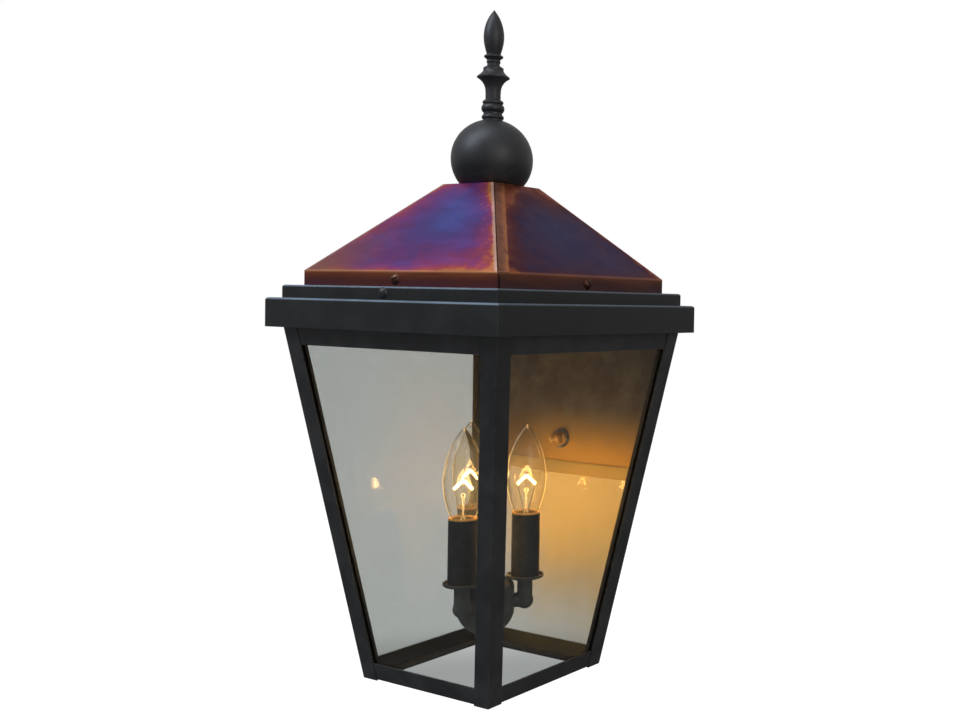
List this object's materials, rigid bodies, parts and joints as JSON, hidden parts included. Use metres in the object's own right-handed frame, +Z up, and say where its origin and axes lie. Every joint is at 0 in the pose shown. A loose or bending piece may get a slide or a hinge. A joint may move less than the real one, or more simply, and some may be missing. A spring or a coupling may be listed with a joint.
{
  "type": "outdoor wall sconce",
  "caption": "Four-sided tapered wall lantern: black metal frame and cornice, flame-coloured copper hood with ball and spire, clear panes, candle lamps on a hanging cluster.",
  "frame": {"origin": "middle of the crossbar's back face, on the wall", "axes": "+Z up, -Y out of the wall towards the lantern's front, +X to the right of someone who looks at its front"},
  "size_m": [0.264, 0.267, 0.5916],
  "materials": {
    "black_metal": "satin black bronze finish, rubbed at the folds",
    "hood_copper": "flame-coloured copper, blue and purple turning to magenta, orange and brown at the edges",
    "back_bronze": "dark brown bronze sheet, satin",
    "pane_glass": "clear sheet glass with a slight grey tint",
    "lamp_glass": "clear blown glass",
    "lamp_mount": "clear glass stem with bright wires and a lit filament",
    "lamp_base": "drawn brass screw shell",
    "lamp_tip": "black insulator with a bright solder contact",
    "lamp_socket": "brown-black moulded socket",
    "candle_sleeve": "satin black sleeve",
    "cap_nut_brass": "aged brass",
    "plain_steel": "zinc-plated steel"
  },
  "bodies": {
    "lantern": {"back_bar": "black_metal", "back_plate": "back_bronze", "bottom_rail_back": "black_metal", "bottom_rail_front": "black_metal", "bottom_rail_left": "black_metal", "bottom_rail_right": "black_metal", "candle_arm_1": "black_metal", "candle_arm_2": "black_metal", "candle_arm_3": "black_metal", "candle_cup_1": "black_metal", "candle_cup_2": "black_metal", "candle_cup_3": "black_metal", "candle_sleeve_1": "candle_sleeve", "candle_sleeve_2": "candle_sleeve", "candle_sleeve_3": "candle_sleeve", "cap_nut": "cap_nut_brass", "cap_screws": "black_metal", "cluster_body": "black_metal", "corner_post_back_left": "black_metal", "corner_post_back_right": "black_metal", "corner_post_front_left": "black_metal", "corner_post_front_right": "black_metal", "cornice_band": "black_metal", "crossbar": "plain_steel", "finial_ball": "black_metal", "finial_nut": "plain_steel", "finial_spire": "black_metal", "finial_stud": "plain_steel", "glass_back": "pane_glass", "glass_front": "pane_glass", "glass_left": "pane_glass", "glass_right": "pane_glass", "lamp_socket_1": "lamp_socket", "lamp_socket_2": "lamp_socket", "lamp_socket_3": "lamp_socket", "mounting_stud": "plain_steel", "roof_hood": "hood_copper", "stem": "black_metal", "stem_bar": "black_metal", "stem_nuts": "plain_steel", "step_band": "black_metal", "stud_nut": "plain_steel", "taper_washer": "cap_nut_brass", "top_rail_back": "black_metal", "top_rail_front": "black_metal", "top_rail_left": "black_metal", "top_rail_right": "black_metal", "wall_canopy": "black_metal"},
    "lamp_1_contact": {"lamp_tip_1": "lamp_tip"},
    "lamp_1": {"lamp_glass_1": "lamp_glass", "lamp_base_1": "lamp_base", "lamp_mount_1": "lamp_mount"},
    "lamp_2_contact": {"lamp_tip_2": "lamp_tip"},
    "lamp_2": {"lamp_glass_2": "lamp_glass", "lamp_base_2": "lamp_base", "lamp_mount_2": "lamp_mount"},
    "lamp_3_contact": {"lamp_tip_3": "lamp_tip"},
    "lamp_3": {"lamp_glass_3": "lamp_glass", "lamp_base_3": "lamp_base", "lamp_mount_3": "lamp_mount"}
  },
  "joints": [
    {"name": "lamp_1_rise", "type": "slide", "parent": "lantern", "child": "lamp_1_contact", "axis": [0, 0, 1], "range_m": [0, 0.01016]},
    {"name": "lamp_1_unscrew", "type": "hinge", "parent": "lamp_1_contact", "child": "lamp_1", "pos_m": [0.00465, -0.16808, -0.069], "axis": [0, 0, 1], "range_deg": [0, 1450]},
    {"name": "lamp_2_rise", "type": "slide", "parent": "lantern", "child": "lamp_2_contact", "axis": [0, 0, 1], "range_m": [0, 0.01016]},
    {"name": "lamp_2_unscrew", "type": "hinge", "parent": "lamp_2_contact", "child": "lamp_2", "pos_m": [0.02632, -0.11444, -0.069], "axis": [0, 0, 1], "range_deg": [0, 1450]},
    {"name": "lamp_3_rise", "type": "slide", "parent": "lantern", "child": "lamp_3_contact", "axis": [0, 0, 1], "range_m": [0, 0.01016]},
    {"name": "lamp_3_unscrew", "type": "hinge", "parent": "lamp_3_contact", "child": "lamp_3", "pos_m": [-0.03097, -0.12249, -0.069], "axis": [0, 0, 1], "range_deg": [0, 1450]}
  ],
  "couplings": [
    {"joint": "lamp_1_unscrew", "follows": "lamp_1_rise", "rad_per_m": 2473.7},
    {"joint": "lamp_2_unscrew", "follows": "lamp_2_rise", "rad_per_m": 2473.7},
    {"joint": "lamp_3_unscrew", "follows": "lamp_3_rise", "rad_per_m": 2473.7}
  ]
}
